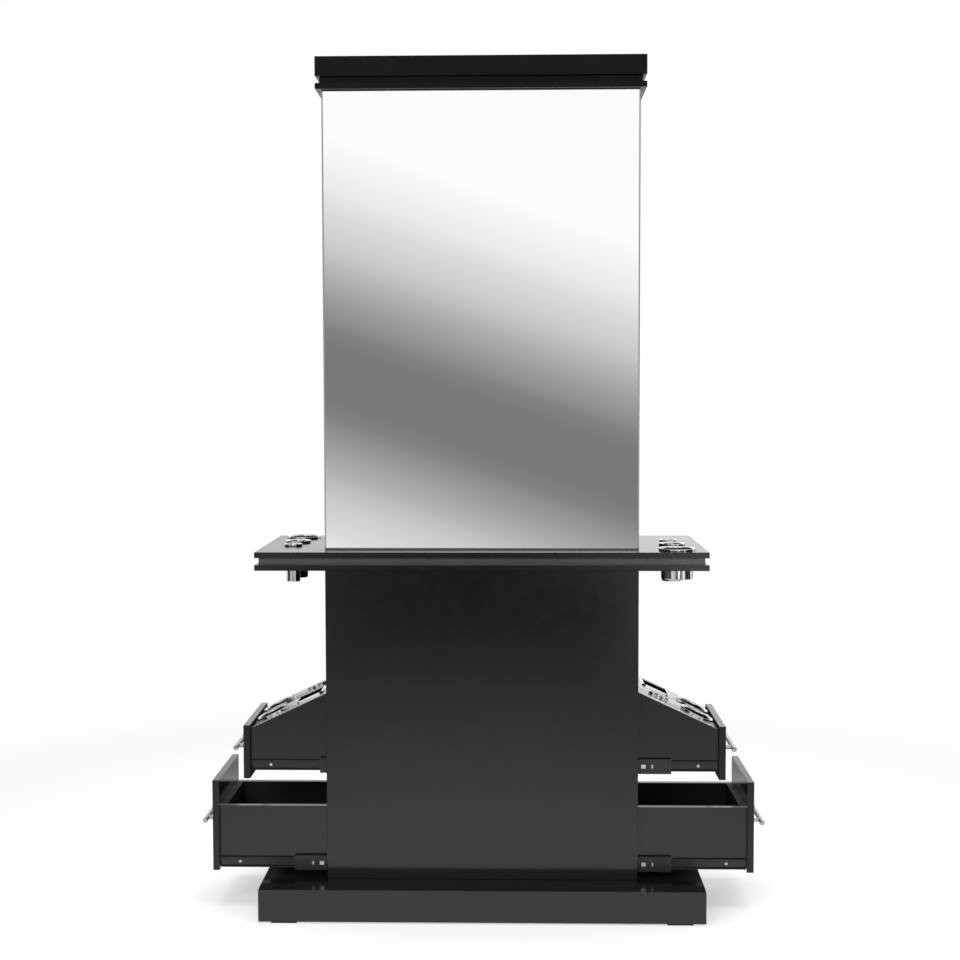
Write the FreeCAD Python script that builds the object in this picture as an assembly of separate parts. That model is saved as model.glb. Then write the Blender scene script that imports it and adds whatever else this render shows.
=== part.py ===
import FreeCAD, Part
import math
import os

# Double sided salon styling station: a plinth, a cabinet whose drawers slide out of both
# ends, a counter with ringed tool holders, and a tower with a mirror on each broad side.
# Millimetres. +X is the right-hand end, -Y the front, +Z up. The origin is on the floor,
# under the middle of the plinth. Turned half round about Z, the station is the same again
# apart from how far its drawers stand open.

Vector = FreeCAD.Vector
Z_AXIS = Vector(0, 0, 1)

# ---------------------------------------------------------------- driving dimensions
OVERALL_HEIGHT = 2003.0

BOARD = 18.0                 # carcass board
EDGE_BREAK = 0.8             # chamfer on the edges of a banded board

BODY_WIDTH = 736.0           # cabinet and tower, along X
BODY_DEPTH = 302.0           # cabinet faces and mirror faces, along Y

PLINTH_PAST_ENDS = 152.0     # plinth past the cabinet, at each end
PLINTH_PAST_FACES = 85.0     # and in front and behind
PLINTH_TOP = 78.0
PLINTH_RAILS = 3
GLIDE_HEIGHT = 3.0
GLIDE_LENGTH = 60.0
GLIDE_INSET = 30.0           # from the plinth's end to the glide

COUNTER_WING = 158.0         # counter past the cabinet, at each end
COUNTER_LEDGE = 54.0         # and in front and behind
COUNTER_BOTTOM = 820.0
COUNTER_SLAB = 13.5
COUNTER_CORE = 16.0
COUNTER_RECESS = 9.0         # how far the battens stand back from the slabs' edges
COUNTER_BATTEN = 30.0

GLASS = 5.0
GLASS_BEVEL_WIDTH = 3.5
GLASS_BEVEL_DEPTH = 0.6
GLASS_LIFT = 1.0             # between the counter and the glass
MIRROR_BACKING = 15.0

CROWN_OVERHANG = 13.5        # crown past the tower, all round
CROWN_BLOCK = 45.0
CROWN_GROOVE = 15.5
CROWN_SLAB = 13.5
CROWN_RECESS = 9.5           # how far the groove stands back from the crown's faces

FRONT_THICKNESS = 16.0
FRONT_GAP = 2.0              # round an inset drawer front, and behind it to the runners
FRONT_LIFT = 12.5            # lower front above the plinth
FRONT_SPACING = 5.0          # upper front above the lower one
LOWER_FRONT_HEIGHT = 218.0
UPPER_FRONT_HEIGHT = 128.0

BOX_BOARD = 16.0
BOX_LIFT_LOWER = 7.5         # bottom of the drawer box above the bottom of its front
BOX_LIFT_UPPER = 20.0
LOWER_BOX_HEIGHT = 147.0
TOOL_SLOPE = 25.0            # degrees, the tool plate's rise towards the cabinet's middle
TOOL_EDGE_DROP = 9.5         # low end of the slope below the top of the front
BOTTOM_SHEET = 4.0
BOTTOM_RISE = 10.0           # bottom sheet above the box's lower edge
GROOVE_DEPTH = 6.0

RUNNER_SPACE = 12.7          # between drawer box and cabinet side
RUNNER_STEP = 50.0           # runners come in lengths of this step
RUNNER_REAR_ROOM = 15.0
RUNNER_SHEET = 1.2
RUNNER_HEIGHT = 45.2         # cabinet member, over its races
BALL = 4.75                  # diameter of the balls between the members
RUNNER_MEMBER_GAP = 0.8      # web to web, and lip tip to web
RACE_DEPTH = 0.8             # ball race rolled into each lip
RACE_FLOOR = 1.8
RACE_FLAT = 1.15             # flat lip left on each side of a race
CAGE_LENGTH = 60.0           # ball cage
CAGE_LAP = 0.5               # over the flat lip on each side of the race
CAGE_END = 4.0               # from the slider's end to the cage
CAGE_CLEARANCE = 0.3         # to the member that the balls run against
# The share of its travel that each drawer stands open, and the share of the drawer's
# movement that the slider between its two members makes.
DRAWERS = {
    ("lower", "left"): {"open": 0.922, "slider": 0.36},
    ("lower", "right"): {"open": 0.922, "slider": 0.36},
    ("upper", "left"): {"open": 0.669, "slider": 0.18},
    ("upper", "right"): {"open": 0.696, "slider": 0.47},
}
# slots punched through the slider's web: from its end, length along X, height
SLIDER_SLOTS = ((45.0, 4.0, 9.0), (66.0, 11.0, 10.0))

HANDLE_LENGTH = 184.0
HANDLE_BAR_RADIUS = 6.0
HANDLE_POST_RADIUS = 5.0
HANDLE_POST_SPACING = 128.0
HANDLE_REACH = 32.0

SHEET = 1.2                  # pressed steel of the tool plate
PLATE_START = 2.0            # behind the drawer front, along the slope
PLATE_LIP = 12.0             # folded down over the back board
BIG_HOLE_RADIUS = 35.0
BIG_RIM_WIDTH = 8.0
BIG_RIM_START = 7.0          # from the plate's low end to the rims, along the slope
BIG_RIM_GAP = 12.0           # between the two rims
SMALL_HOLE_RADIUS = 10.0
SMALL_RIM_WIDTH = 2.6
SMALL_RIM_GAP = 1.8
SMALL_HOLE_SIDE = 58.0       # across, from the plate's middle
POCKET_GAP = 26.0            # from the big rims to the pocket, along the slope
POCKET_LENGTH = 66.0
POCKET_FROM_MIDDLE = 14.0    # across, to the pocket's inner wall
POCKET_FROM_SIDE = 12.3      # across, from the drawer's side board to its outer wall
POCKET_DEPTH = 10.0
POCKET_CORNER = 7.0
POCKET_RIM_WIDTH = 5.0
POCKET_RIM_SLOPE = 3.0       # chamfer along the rim's outer edge
RIM_HEIGHT = 5.0             # rolled rims, above the sheet or the counter

HOLDER_FROM_END = 69.0       # from the counter's end to the row of holders
HOLDER_WALL = 1.5
# On the right-hand wing: the middle behind the counter's front edge, the tube's outer
# radius, the width of the rim round it, and how far the tube hangs below the counter top.
HOLDERS = {
    "dryer_holders": (58.0, 37.0, 6.0, 67.0),
    "large_iron_holders": (172.0, 24.0, 8.0, 86.0),
    "small_iron_holders": (256.0, 16.5, 6.0, 86.0),
}
HOLDER_FIT = 0.5             # counter hole over the tube, on the radius

# ---------------------------------------------------------------- derived places
COUNTER_TOP = COUNTER_BOTTOM + 2 * COUNTER_SLAB + COUNTER_CORE
CROWN_BOTTOM = OVERALL_HEIGHT - CROWN_BLOCK - CROWN_GROOVE - CROWN_SLAB
HALF_WIDTH = BODY_WIDTH / 2
HALF_DEPTH = BODY_DEPTH / 2
BAY_HALF = HALF_DEPTH - BOARD                    # inner face of each gable
BOX_HALF = BAY_HALF - RUNNER_SPACE               # outer face of each drawer side
BOX_INNER = BOX_HALF - BOX_BOARD                 # and its inner face
COUNTER_HALF_LENGTH = HALF_WIDTH + COUNTER_WING
COUNTER_HALF_DEPTH = HALF_DEPTH + COUNTER_LEDGE
HOLDER_X = COUNTER_HALF_LENGTH - HOLDER_FROM_END
LOWER_FRONT_BOTTOM = PLINTH_TOP + FRONT_LIFT
UPPER_FRONT_BOTTOM = LOWER_FRONT_BOTTOM + LOWER_FRONT_HEIGHT + FRONT_SPACING
RUNNER_FRONT = HALF_WIDTH - FRONT_THICKNESS - FRONT_GAP
RUNNER_ROOM = RUNNER_FRONT - BOARD / 2 - RUNNER_REAR_ROOM
RUNNER_LENGTH = RUNNER_STEP * math.floor(RUNNER_ROOM / RUNNER_STEP)
# Places across the runner space, from the gable: the back of the slider's web, the lips'
# tips, and the middle of each pair of races, where two members' lips lie over each other.
SLIDER_WEB = RUNNER_SHEET + RUNNER_MEMBER_GAP
CABINET_TIP = RUNNER_SPACE - 2 * RUNNER_SHEET
SLIDER_TIP = RUNNER_SPACE - RUNNER_SHEET - RUNNER_MEMBER_GAP
DRAWER_TIP = SLIDER_WEB + RUNNER_SHEET + RUNNER_MEMBER_GAP
OUTER_RACE = (SLIDER_WEB + RUNNER_SHEET + CABINET_TIP) / 2
INNER_RACE = (DRAWER_TIP + SLIDER_TIP) / 2
RACE_WIDTH = SLIDER_TIP - DRAWER_TIP - 2 * RACE_FLAT
# Half heights of the members. A ball stands between the floors of two facing races.
CABINET_HALF = RUNNER_HEIGHT / 2
SLIDER_HALF = CABINET_HALF - RUNNER_SHEET - BALL + RACE_DEPTH
DRAWER_HALF = SLIDER_HALF - RUNNER_SHEET - BALL
BOX_FRONT = HALF_WIDTH - FRONT_THICKNESS         # closed drawer box, its outer end
BOX_BACK = BOX_FRONT - RUNNER_LENGTH
SLOPE = math.tan(math.radians(TOOL_SLOPE))


# ---------------------------------------------------------------- shared shapes
def box(x0, x1, y0, y1, z0, z1):
    return Part.makeBox(x1 - x0, y1 - y0, z1 - z0, Vector(x0, y0, z0))


def board(x0, x1, y0, y1, z0, z1):
    """A banded board: a box with its edges broken."""
    plain = box(x0, x1, y0, y1, z0, z1)
    return plain.makeChamfer(EDGE_BREAK, plain.Edges)


def turned(shape):
    """The same piece on the other end of the station."""
    copy = shape.copy()
    copy.rotate(Vector(0, 0, 0), Z_AXIS, 180)
    return copy


def facing_pair(shape):
    return [shape, turned(shape)]


def upright_cylinder(radius, x, y, z0, z1):
    return Part.makeCylinder(radius, z1 - z0, Vector(x, y, z0), Z_AXIS)


def extrude_outline(points, direction):
    wire = Part.makePolygon([Vector(*p) for p in points + points[:1]])
    return Part.Face(wire).extrude(Vector(*direction))


def save(name, *solids):
    shape = solids[0] if len(solids) == 1 else Part.makeCompound(list(solids))
    shape.exportStep("parts/" + name + ".step")


# ---------------------------------------------------------------- plinth
def make_plinth():
    half_length = HALF_WIDTH + PLINTH_PAST_ENDS
    half_depth = HALF_DEPTH + PLINTH_PAST_FACES
    inner_length = half_length - BOARD
    inner_depth = half_depth - BOARD
    under_top = PLINTH_TOP - BOARD
    skirt = board(-half_length, half_length, -half_depth, -inner_depth, GLIDE_HEIGHT, PLINTH_TOP)
    end = box(inner_length, half_length, -inner_depth, inner_depth, GLIDE_HEIGHT, PLINTH_TOP)
    save("base_long_skirts", *facing_pair(skirt))
    save("base_end_skirts", *facing_pair(end))
    top = box(-inner_length, inner_length, -inner_depth, inner_depth, under_top, PLINTH_TOP)
    save("base_top_board", top)
    rails = []
    for i in range(PLINTH_RAILS):
        x = inner_length * (2 * (i + 1) / (PLINTH_RAILS + 1) - 1)
        rail = box(x - BOARD / 2, x + BOARD / 2, -inner_depth, inner_depth, GLIDE_HEIGHT, under_top)
        rails.append(rail)
    save("base_cross_rails", *rails)
    glides = []
    glide_end = half_length - GLIDE_INSET
    for x0 in (-glide_end, glide_end - GLIDE_LENGTH):
        glides += facing_pair(box(x0, x0 + GLIDE_LENGTH, -half_depth, -inner_depth, 0, GLIDE_HEIGHT))
    save("floor_glides", *glides)


# ---------------------------------------------------------------- cabinet carcass
def make_cabinet():
    gable = board(-HALF_WIDTH, HALF_WIDTH, -HALF_DEPTH, -BAY_HALF, PLINTH_TOP, COUNTER_BOTTOM)
    save("gable_front", gable)
    save("gable_back", turned(gable))
    under_top = COUNTER_BOTTOM - BOARD
    save("centre_divider", box(-BOARD / 2, BOARD / 2, -BAY_HALF, BAY_HALF, PLINTH_TOP, under_top))
    top = box(-HALF_WIDTH, HALF_WIDTH, -BAY_HALF, BAY_HALF, under_top, COUNTER_BOTTOM)
    save("cabinet_top_board", top)


# ---------------------------------------------------------------- counter and its holders
def holder_holes(z0, z1):
    holes = []
    for behind_edge, tube, _, _ in HOLDERS.values():
        y = behind_edge - COUNTER_HALF_DEPTH
        holes += facing_pair(upright_cylinder(tube + HOLDER_FIT, HOLDER_X, y, z0 - 1, z1 + 1))
    return Part.makeCompound(holes)


def counter_slab(z0):
    half_length = COUNTER_HALF_LENGTH
    half_depth = COUNTER_HALF_DEPTH
    z1 = z0 + COUNTER_SLAB
    slab = board(-half_length, half_length, -half_depth, half_depth, z0, z1)
    return slab.cut(holder_holes(z0, z1)).Solids[0]


def counter_battens(z0, z1):
    """The recessed band between the slabs: a frame, with a cross batten under each tower side."""
    half_length = COUNTER_HALF_LENGTH - COUNTER_RECESS
    half_depth = COUNTER_HALF_DEPTH - COUNTER_RECESS
    inner_depth = half_depth - COUNTER_BATTEN
    battens = facing_pair(box(-half_length, half_length, -half_depth, -inner_depth, z0, z1))
    for x1 in (half_length, HALF_WIDTH):
        battens += facing_pair(box(x1 - COUNTER_BATTEN, x1, -inner_depth, inner_depth, z0, z1))
    holes = holder_holes(z0, z1)
    return [batten.cut(holes).Solids[0] for batten in battens]


def spun(outline):
    """A solid of revolution about Z from (radius, height) points."""
    wire = Part.makePolygon([Vector(r, 0, z) for r, z in outline + outline[:1]])
    return Part.Face(wire).revolve(Vector(0, 0, 0), Z_AXIS, 360)


def tool_holder(tube, rim_width, depth):
    """A rolled rim, its seat at z = 0, with a tube hanging from it."""
    bore = tube - HOLDER_WALL
    return spun([
        (bore, -depth), (bore, RIM_HEIGHT), (tube + rim_width, 0), (tube, 0), (tube, -depth),
    ])


def make_counter():
    core_bottom = COUNTER_BOTTOM + COUNTER_SLAB
    core_top = core_bottom + COUNTER_CORE
    save("counter_bottom_slab", counter_slab(COUNTER_BOTTOM))
    save("counter_battens", *counter_battens(core_bottom, core_top))
    save("counter_top_slab", counter_slab(core_top))
    for name, (behind_edge, tube, rim_width, depth) in HOLDERS.items():
        holder = tool_holder(tube, rim_width, depth)
        holder.translate(Vector(HOLDER_X, behind_edge - COUNTER_HALF_DEPTH, COUNTER_TOP))
        save(name, *facing_pair(holder))


# ---------------------------------------------------------------- tower, mirrors, crown
def bevelled_glass(z0, z1):
    """Front mirror: a flat pane under a low frustum whose four sides are the bevels."""
    face = -HALF_DEPTH
    shoulder = face + GLASS_BEVEL_DEPTH
    pane = box(-HALF_WIDTH, HALF_WIDTH, shoulder, face + GLASS, z0, z1)
    inset = GLASS_BEVEL_WIDTH
    bevels = Part.makeWedge(
        -HALF_WIDTH + inset, face, z0 + inset, z0, -HALF_WIDTH,
        HALF_WIDTH - inset, shoulder, z1 - inset, z1, HALF_WIDTH)
    return pane.fuse(bevels).removeSplitter().Solids[0]


def make_tower():
    side_half = HALF_DEPTH - GLASS
    inner_half = side_half - MIRROR_BACKING
    inner_width = HALF_WIDTH - BOARD
    side = box(inner_width, HALF_WIDTH, -side_half, side_half, COUNTER_TOP, CROWN_BOTTOM)
    save("tower_sides", *facing_pair(side))
    backing = box(-inner_width, inner_width, -side_half, -inner_half, COUNTER_TOP, CROWN_BOTTOM)
    save("mirror_backing_front", backing)
    save("mirror_backing_back", turned(backing))
    shelf_pitch = (CROWN_BOTTOM - COUNTER_TOP - BOARD) / 2
    shelves = []
    for i in range(3):
        z = COUNTER_TOP + i * shelf_pitch
        shelves.append(box(-inner_width, inner_width, -inner_half, inner_half, z, z + BOARD))
    save("tower_cross_boards", *shelves)
    glass = bevelled_glass(COUNTER_TOP + GLASS_LIFT, CROWN_BOTTOM)
    save("mirror_front", glass)
    save("mirror_back", turned(glass))


def crown_layer(recess, z0, z1):
    half_length = HALF_WIDTH + CROWN_OVERHANG - recess
    half_depth = HALF_DEPTH + CROWN_OVERHANG - recess
    return board(-half_length, half_length, -half_depth, half_depth, z0, z1)


def make_crown():
    groove_bottom = CROWN_BOTTOM + CROWN_SLAB
    groove_top = groove_bottom + CROWN_GROOVE
    save("crown_bottom_slab", crown_layer(0, CROWN_BOTTOM, groove_bottom))
    save("crown_core", crown_layer(CROWN_RECESS, groove_bottom, groove_top))
    save("crown_top_block", crown_layer(0, groove_top, OVERALL_HEIGHT))


# ---------------------------------------------------------------- telescopic runners
def pressed_channel(web, lip_tip, half_height, race_middle, race_side):
    """Section, in the YZ plane, of a rolled runner member with a ball race in each lip.

    web is where the back of the web stands across the runner space, and lip_tip where the
    lips end. race_side is 1 where the races bulge away from the middle, and -1 inwards.
    """
    towards = 1 if lip_tip > web else -1
    lip_level = half_height - max(race_side, 0) * RACE_DEPTH
    race_level = lip_level + race_side * RACE_DEPTH
    half_lip = [(lip_tip, lip_level)]
    for across, level in ((RACE_WIDTH, lip_level), (RACE_FLOOR, race_level)):
        half_lip.append((race_middle + towards * across / 2, level))
    for across, level in ((RACE_FLOOR, race_level), (RACE_WIDTH, lip_level)):
        half_lip.append((race_middle - towards * across / 2, level))
    half_lip.append((web, lip_level))
    lower = [(y, -z) for y, z in reversed(half_lip)]
    outer = Part.makePolygon([Vector(0, y, z) for y, z in half_lip + lower])
    inward = -towards * RUNNER_SHEET
    return outer.makeOffset2D(inward, join=2, fill=True, openResult=True)


def member(kind):
    """One runner member on the front gable, closed, along +X from x = 0."""
    if kind == "cabinet":
        section = pressed_channel(0, CABINET_TIP, CABINET_HALF, OUTER_RACE, 1)
    elif kind == "slider":
        section = pressed_channel(SLIDER_WEB, SLIDER_TIP, SLIDER_HALF, OUTER_RACE, -1)
    else:
        section = pressed_channel(RUNNER_SPACE, DRAWER_TIP, DRAWER_HALF, INNER_RACE, -1)
    channel = section.extrude(Vector(RUNNER_LENGTH, 0, 0))
    if kind == "slider":
        channel = channel.cut(slider_cutouts())
    return channel.Solids[0]


def slider_cutouts():
    """The slots through the slider's web near each of its ends."""
    cutters = []
    for from_tip, length, height in SLIDER_SLOTS:
        for middle in (from_tip, RUNNER_LENGTH - from_tip):
            x0 = middle - length / 2
            cutters.append(box(x0, x0 + length, 0, RUNNER_SPACE / 2, -height / 2, height / 2))
    return Part.makeCompound(cutters)


def ball_cages():
    """Four cages on one slider: the outer two ride over its lips, the inner two under them.

    The outer ones stay near its inner end, in the cabinet member, and the inner ones near
    its outer end, where the drawer member always reaches.
    """
    lip = RACE_DEPTH + RUNNER_SHEET
    over = (SLIDER_HALF, CABINET_HALF - lip - CAGE_CLEARANCE)
    under = (DRAWER_HALF + CAGE_CLEARANCE, SLIDER_HALF - lip)
    inner_end = CAGE_END
    outer_end = RUNNER_LENGTH - CAGE_END - CAGE_LENGTH
    cages = []
    for x0, race, (z0, z1) in ((inner_end, OUTER_RACE, over), (outer_end, INNER_RACE, under)):
        half_width = RACE_WIDTH / 2 + CAGE_LAP
        for low, high in ((z0, z1), (-z1, -z0)):
            cages.append(box(x0, x0 + CAGE_LENGTH, race - half_width, race + half_width, low, high))
    return cages


def beside_drawer(solids, height):
    """Runner pieces put on the front gable, closed, with their mirror images on the back one."""
    pieces = []
    for solid in solids:
        solid.translate(Vector(RUNNER_FRONT - RUNNER_LENGTH, -BAY_HALF, height))
        pieces += [solid, solid.mirror(Vector(0, 0, 0), Vector(0, 1, 0))]
    return pieces


# ---------------------------------------------------------------- drawers
def drawer_levels(level):
    """Front's bottom and top, box's bottom, and the middle height of the runners."""
    if level == "lower":
        bottom, height, lift = LOWER_FRONT_BOTTOM, LOWER_FRONT_HEIGHT, BOX_LIFT_LOWER
    else:
        bottom, height, lift = UPPER_FRONT_BOTTOM, UPPER_FRONT_HEIGHT, BOX_LIFT_UPPER
    box_bottom = bottom + lift
    return bottom, bottom + height, box_bottom, box_bottom + DRAWER_HALF


def slope_height(x, front_top):
    """Top of an upper drawer's box at x, with the drawer closed."""
    return front_top - TOOL_EDGE_DROP + (BOX_FRONT - x) * SLOPE


def side_outline(level, x0, x1, z0, front_top):
    if level == "lower":
        top_0 = top_1 = z0 + LOWER_BOX_HEIGHT
    else:
        top_0 = slope_height(x0, front_top)
        top_1 = slope_height(x1, front_top)
    return [(x0, 0, z0), (x1, 0, z0), (x1, 0, top_1), (x0, 0, top_0)]


def drawer_box(level):
    """Two sides, two ends and the bottom sheet of a closed right-hand drawer."""
    _, front_top, z0, _ = drawer_levels(level)
    sheet_half = BOX_INNER + GROOVE_DEPTH
    sheet = box(
        BOX_BACK + BOX_BOARD - GROOVE_DEPTH, BOX_FRONT - BOX_BOARD + GROOVE_DEPTH,
        -sheet_half, sheet_half, z0 + BOTTOM_RISE, z0 + BOTTOM_RISE + BOTTOM_SHEET)
    side = extrude_outline(side_outline(level, BOX_BACK, BOX_FRONT, z0, front_top), (0, BOX_BOARD, 0))
    side.translate(Vector(0, -BOX_HALF, 0))
    sides = [side, side.mirror(Vector(0, 0, 0), Vector(0, 1, 0))]
    ends = []
    for x0 in (BOX_BACK, BOX_FRONT - BOX_BOARD):
        outline = side_outline(level, x0, x0 + BOX_BOARD, z0, front_top)
        end = extrude_outline(outline, (0, 2 * BOX_INNER, 0))
        end.translate(Vector(0, -BOX_INNER, 0))
        ends.append(end)
    sides = [s.cut(sheet).Solids[0] for s in sides]
    ends = [e.cut(sheet).Solids[0] for e in ends]
    return sides, ends, sheet


def drawer_front(level):
    z0, z1, _, _ = drawer_levels(level)
    half = BAY_HALF - FRONT_GAP
    return board(BOX_FRONT, HALF_WIDTH, -half, half, z0, z1)


def bar_handle(level):
    """A straight bar on two posts, at the middle of the front."""
    z0, z1, _, _ = drawer_levels(level)
    middle = (z0 + z1) / 2
    reach = HANDLE_REACH - HANDLE_BAR_RADIUS
    along = Vector(0, 1, 0)
    start = Vector(HALF_WIDTH + reach, -HANDLE_LENGTH / 2, middle)
    bar = Part.makeCylinder(HANDLE_BAR_RADIUS, HANDLE_LENGTH, start, along)
    for y in (-HANDLE_POST_SPACING / 2, HANDLE_POST_SPACING / 2):
        foot = Vector(HALF_WIDTH, y, middle)
        bar = bar.fuse(Part.makeCylinder(HANDLE_POST_RADIUS, reach, foot, Vector(1, 0, 0)))
    return bar.Solids[0]


# ---------------------------------------------------------------- tool plate
def rounded_prism(x0, x1, y0, y1, corner, z0, z1):
    block = box(x0, x1, y0, y1, z0, z1)
    uprights = [e for e in block.Edges if e.BoundBox.ZLength > (z1 - z0) / 2]
    return block.makeFillet(corner, uprights)


def pocket_start():
    """From the plate's low end, along the slope, past the row of big rims."""
    return BIG_RIM_START + 2 * (BIG_HOLE_RADIUS + BIG_RIM_WIDTH) + POCKET_GAP


def tool_holes():
    """Centres on the plate (along, across), with the bore's radius and the rim's width."""
    big_rim = BIG_HOLE_RADIUS + BIG_RIM_WIDTH
    small_rim = SMALL_HOLE_RADIUS + SMALL_RIM_WIDTH
    row = pocket_start() + POCKET_LENGTH / 2
    holes = []
    for side in (-1, 1):
        across = side * (big_rim + BIG_RIM_GAP / 2)
        holes.append((BIG_RIM_START + big_rim, across, BIG_HOLE_RADIUS, BIG_RIM_WIDTH))
        along = row + side * (small_rim + SMALL_RIM_GAP / 2)
        holes.append((along, SMALL_HOLE_SIDE, SMALL_HOLE_RADIUS, SMALL_RIM_WIDTH))
    return holes


def pocket_rim(x0, x1, y0, y1):
    """The raised rim round the pocket, its outer side sloping down to the sheet."""
    out = POCKET_RIM_WIDTH
    rim = rounded_prism(
        x0 - out, x1 + out, y0 - out, y1 + out, POCKET_CORNER + out, SHEET, SHEET + RIM_HEIGHT)
    crest = [e for e in rim.Edges if e.BoundBox.ZMin > SHEET + RIM_HEIGHT / 2]
    return rim.makeChamfer(POCKET_RIM_SLOPE, crest)


def flat_tool_plate():
    """The pressed plate before it is laid on the slope.

    x runs along it, y across, and its underside is at z = 0. Each round hole has a rim
    rolled up round it, and the rectangular pocket has walls folded down under a raised rim.
    """
    length = RUNNER_LENGTH / math.cos(math.radians(TOOL_SLOPE))
    plate = box(PLATE_START, length, -BOX_HALF, BOX_HALF, 0, SHEET)
    x0, x1 = pocket_start(), pocket_start() + POCKET_LENGTH
    y0, y1 = POCKET_FROM_SIDE - BOX_INNER, -POCKET_FROM_MIDDLE
    wall = rounded_prism(x0, x1, y0, y1, POCKET_CORNER, -POCKET_DEPTH, SHEET)
    opening = rounded_prism(
        x0 + SHEET, x1 - SHEET, y0 + SHEET, y1 - SHEET, POCKET_CORNER - SHEET,
        -POCKET_DEPTH - 1, SHEET + RIM_HEIGHT + 1)
    rim = pocket_rim(x0, x1, y0, y1)
    plate = plate.fuse([wall, rim]).cut(opening)
    for along, across, bore, rim_width in tool_holes():
        rim = spun([(bore, 0), (bore, RIM_HEIGHT), (bore + rim_width, 0)])
        rim.translate(Vector(along, across, SHEET))
        plate = plate.cut(upright_cylinder(bore, along, across, -1, SHEET + 1)).fuse(rim)
    return plate.removeSplitter().Solids[0]


def lay_on_slope(shape, front_top):
    """From the plate's own frame to its place on a closed right-hand drawer."""
    laid = shape.copy()
    laid.rotate(Vector(0, 0, 0), Z_AXIS, 180)
    laid.rotate(Vector(0, 0, 0), Vector(0, 1, 0), TOOL_SLOPE)
    laid.translate(Vector(BOX_FRONT, 0, slope_height(BOX_FRONT, front_top)))
    return laid


def tool_plate():
    _, front_top, _, _ = drawer_levels("upper")
    plate = lay_on_slope(flat_tool_plate(), front_top)
    lip_top = slope_height(BOX_BACK, front_top)
    lip = box(BOX_BACK - SHEET, BOX_BACK, -BOX_HALF, BOX_HALF, lip_top - PLATE_LIP, lip_top)
    return plate.fuse(lip).removeSplitter().Solids[0]


# ---------------------------------------------------------------- assembly of the drawers
def make_drawer(level, side):
    """One drawer and its runner members, at the travel where it stands at rest."""
    share = DRAWERS[(level, side)]
    travel = share["open"] * RUNNER_LENGTH
    _, _, _, runner_height = drawer_levels(level)

    def keep(name, solids, moved=travel):
        placed = []
        for solid in solids:
            solid = solid.copy()
            solid.translate(Vector(moved, 0, 0))
            placed.append(turned(solid) if side == "left" else solid)
        save("%s_%s_%s" % (side, level, name), *placed)

    sides, ends, sheet = drawer_box(level)
    keep("drawer_front", [drawer_front(level)])
    keep("box_sides", sides)
    keep("box_ends", ends)
    keep("box_bottom", [sheet])
    keep("handle", [bar_handle(level)])
    keep("drawer_runners", beside_drawer([member("drawer")], runner_height))
    slid = travel * share["slider"]
    keep("runner_sliders", beside_drawer([member("slider")], runner_height), slid)
    keep("ball_cages", beside_drawer(ball_cages(), runner_height), slid)
    if level == "upper":
        keep("tool_plate", [tool_plate()])


def make_cabinet_runners():
    for side in ("left", "right"):
        members = []
        for level in ("lower", "upper"):
            _, _, _, runner_height = drawer_levels(level)
            for solid in beside_drawer([member("cabinet")], runner_height):
                members.append(turned(solid) if side == "left" else solid)
        save(side + "_cabinet_runners", *members)


os.makedirs("parts", exist_ok=True)
make_plinth()
make_cabinet()
make_counter()
make_tower()
make_crown()
make_cabinet_runners()
for drawer_level, drawer_side in DRAWERS:
    make_drawer(drawer_level, drawer_side)
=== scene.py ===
import math

import bmesh
import bpy
from mathutils import Matrix, Vector


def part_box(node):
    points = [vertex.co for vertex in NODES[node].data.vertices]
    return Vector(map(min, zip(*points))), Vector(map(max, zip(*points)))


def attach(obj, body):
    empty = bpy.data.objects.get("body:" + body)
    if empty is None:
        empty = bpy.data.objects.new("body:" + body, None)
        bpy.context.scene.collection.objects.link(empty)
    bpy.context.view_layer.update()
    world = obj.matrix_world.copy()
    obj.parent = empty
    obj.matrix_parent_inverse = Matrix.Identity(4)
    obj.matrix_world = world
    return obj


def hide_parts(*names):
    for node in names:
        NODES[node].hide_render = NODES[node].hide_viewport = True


# Looks of a double sided salon station. The scene is in metres, in the CAD frame: +X is the right-hand
# end, -Y the front, +Z up, and the origin is on the floor under the middle of the plinth.

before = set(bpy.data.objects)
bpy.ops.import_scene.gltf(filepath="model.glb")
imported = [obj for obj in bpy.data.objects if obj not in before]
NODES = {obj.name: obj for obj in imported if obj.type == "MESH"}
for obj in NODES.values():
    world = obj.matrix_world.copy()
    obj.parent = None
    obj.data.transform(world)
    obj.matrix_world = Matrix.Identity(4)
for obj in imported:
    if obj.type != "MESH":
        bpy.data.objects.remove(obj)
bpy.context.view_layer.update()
SCENE = bpy.context.scene
SIDES = ("left", "right")
LEVELS = ("lower", "upper")


# ---------------------------------------------------------------- camera
# Found by fitting the corners of the plinth, cabinet, counter, mirror and crown.
CAMERA_PLACE = (0.07309, -3.67619, 1.23610)
CAMERA_YAW = -0.0237
CAMERA_PITCH = 0.0585
CAMERA_ROLL = -0.0021
FOCAL_PIXELS = 1512.23
CENTRE_PIXEL = (476.92, 479.03)
IMAGE_PIXELS = 960
SENSOR = 36.0
CLIP_END = 200.0


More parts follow.
